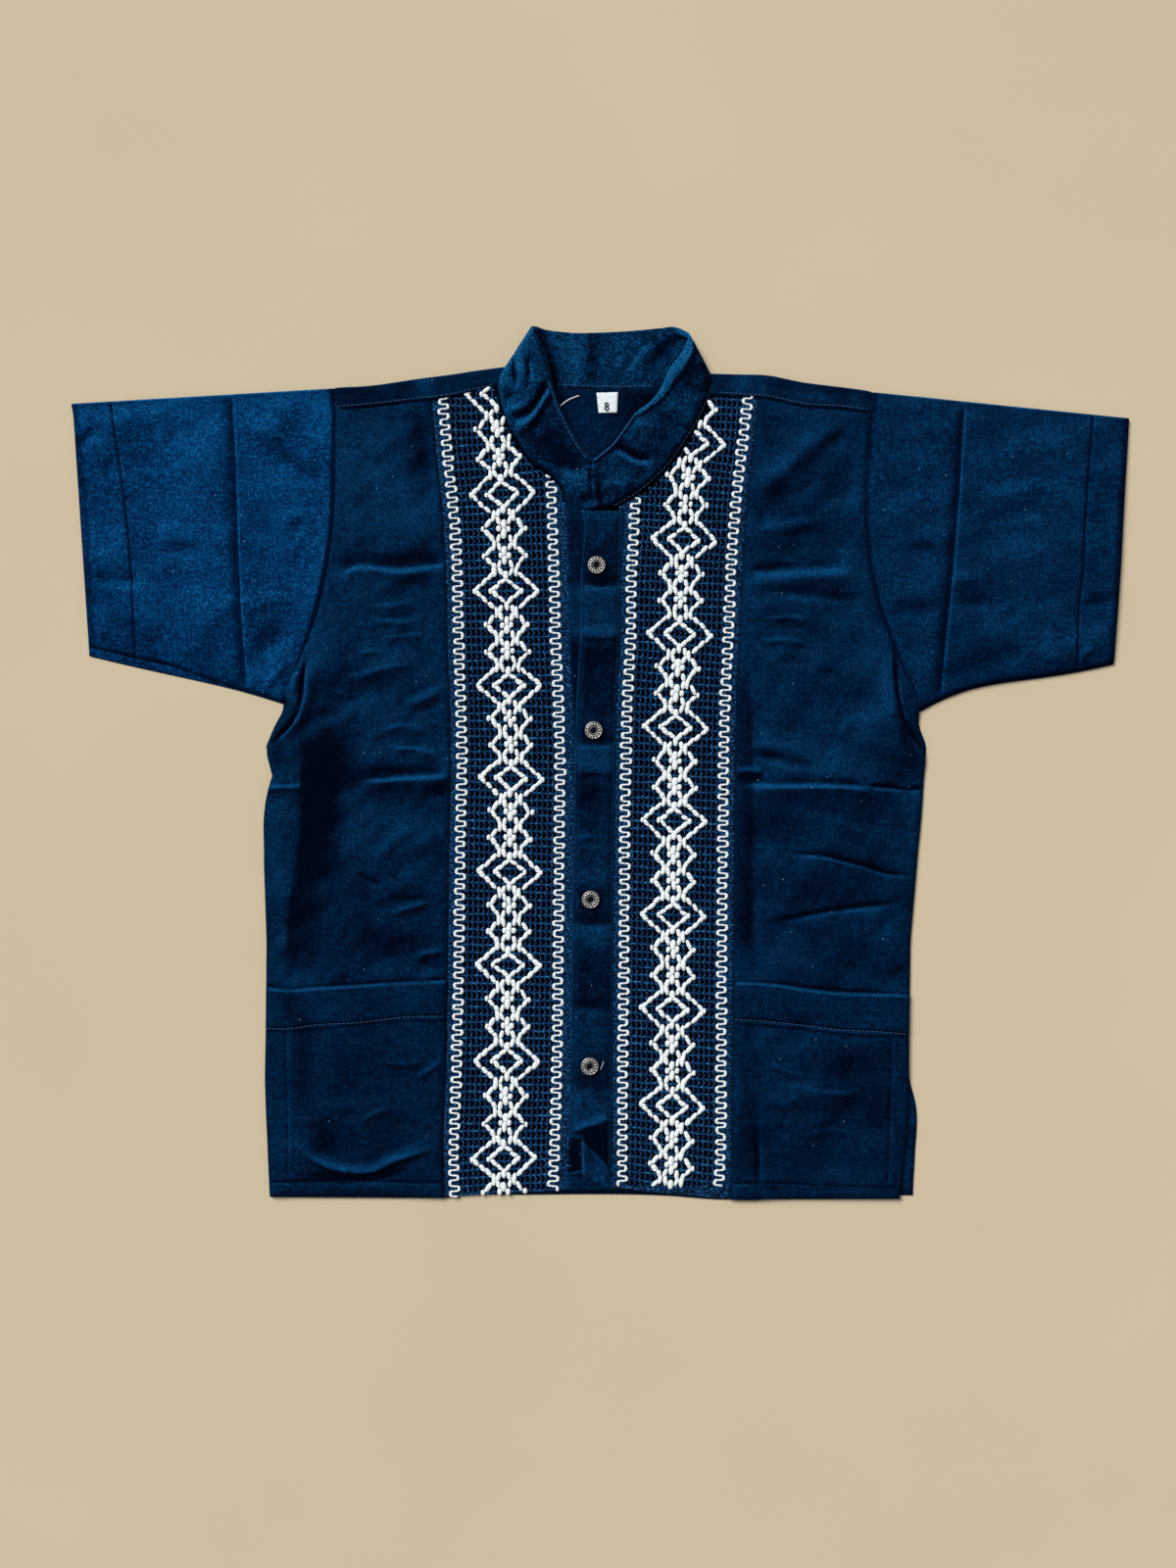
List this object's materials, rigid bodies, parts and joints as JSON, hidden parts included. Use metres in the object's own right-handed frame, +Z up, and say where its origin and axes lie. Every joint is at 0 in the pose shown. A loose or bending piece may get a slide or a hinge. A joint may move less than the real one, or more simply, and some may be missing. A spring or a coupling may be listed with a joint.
{
  "type": "guayabera shirt",
  "caption": "Short-sleeved navy cotton guayabera with a band collar, two loom-woven openwork bands of white diamonds, button placket and patch pockets, laid out flat.",
  "frame": {"origin": "middle of the footprint of the laid-out shirt, on the surface it lies on", "axes": "+X to the wearer's left along the sleeves, +Y from hem to neck, +Z up off the surface"},
  "size_m": [0.7, 0.5794, 0.0116],
  "materials": {
    "navy_cotton": "matte plain-woven cotton manta, washed",
    "openwork_band": "loom-woven openwork cotton with white brocaded thread",
    "white_thread": "soft white cotton yarn",
    "label_satin": "white woven satin tape",
    "button_metal": "cast relief, satin silver"
  },
  "bodies": {
    "root": {"back": "navy_cotton", "front_right": "navy_cotton", "front_left": "navy_cotton", "band_right": "openwork_band", "band_left": "openwork_band", "placket_right": "navy_cotton", "placket_left": "navy_cotton", "pocket_right": "navy_cotton", "pocket_left": "navy_cotton", "sleeve_right": "navy_cotton", "sleeve_left": "navy_cotton", "collar": "navy_cotton", "size_label": "label_satin", "button_1": "button_metal", "button_2": "button_metal", "button_3": "button_metal", "button_4": "button_metal"}
  },
  "joints": []
}
